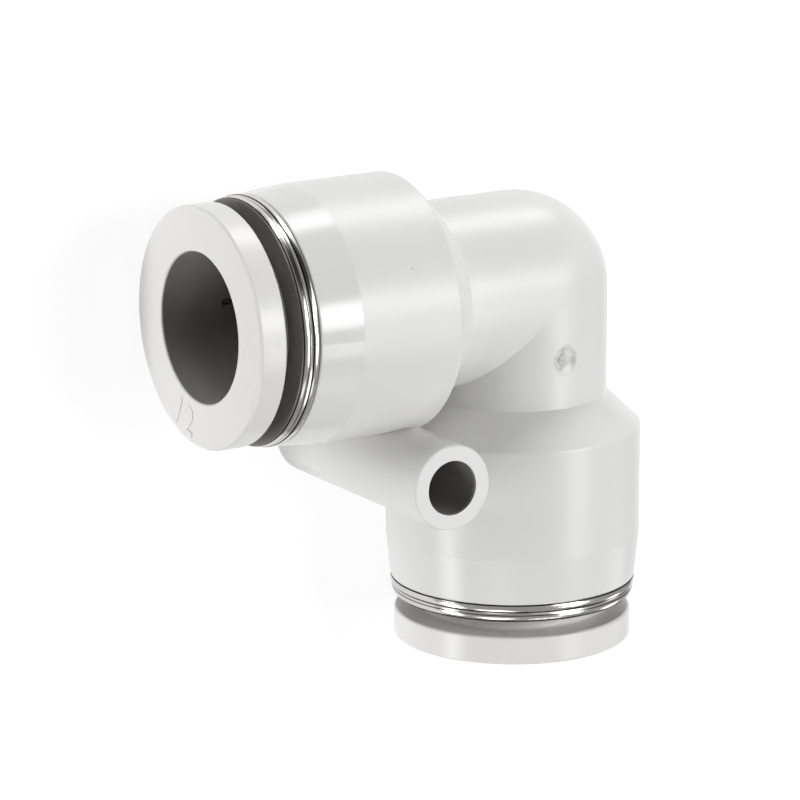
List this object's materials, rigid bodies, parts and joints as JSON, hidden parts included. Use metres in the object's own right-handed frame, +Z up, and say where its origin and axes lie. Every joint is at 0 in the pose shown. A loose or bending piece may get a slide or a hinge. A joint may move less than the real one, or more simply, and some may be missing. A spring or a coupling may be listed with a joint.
{
  "type": "push-in tube elbow coupling",
  "caption": "White plastic elbow with a push-in tube port at each end, pressable release rings, bright metal guide rings and a screw boss in the inner corner.",
  "frame": {"origin": "centre of the screw hole at the lower end of its boss, on the surface the fitting lies on", "axes": "+Z up along the screw hole; port a opens towards -X and port b towards -Y"},
  "size_m": [0.0403, 0.0403, 0.0215],
  "materials": {
    "body_plastic": "fine moulded satin, glossier at the mouths",
    "ring_plastic": "smooth moulded, slightly glossy",
    "bright_metal": "nickel plated, polished",
    "claw_steel": "as stamped",
    "spacer_plastic": "moulded",
    "seal_rubber": "moulded, matte"
  },
  "bodies": {
    "fitting": {"body": "body_plastic", "guide_ring_a": "bright_metal", "lock_claw_a": "claw_steel", "backup_ring_a": "spacer_plastic", "seal_a": "seal_rubber", "guide_ring_b": "bright_metal", "lock_claw_b": "claw_steel", "backup_ring_b": "spacer_plastic", "seal_b": "seal_rubber"},
    "release_a": {"release_ring_a": "ring_plastic"},
    "release_b": {"release_ring_b": "ring_plastic"}
  },
  "joints": [
    {"name": "port_a_press", "type": "slide", "parent": "fitting", "child": "release_a", "axis": [1, 0, 0], "range_m": [0, 0.0012], "stiffness_N_per_m": 4000, "deforming": ["lock_claw_a"]},
    {"name": "port_b_press", "type": "slide", "parent": "fitting", "child": "release_b", "axis": [0, 1, 0], "range_m": [0, 0.0012], "stiffness_N_per_m": 4000, "deforming": ["lock_claw_b"]}
  ]
}
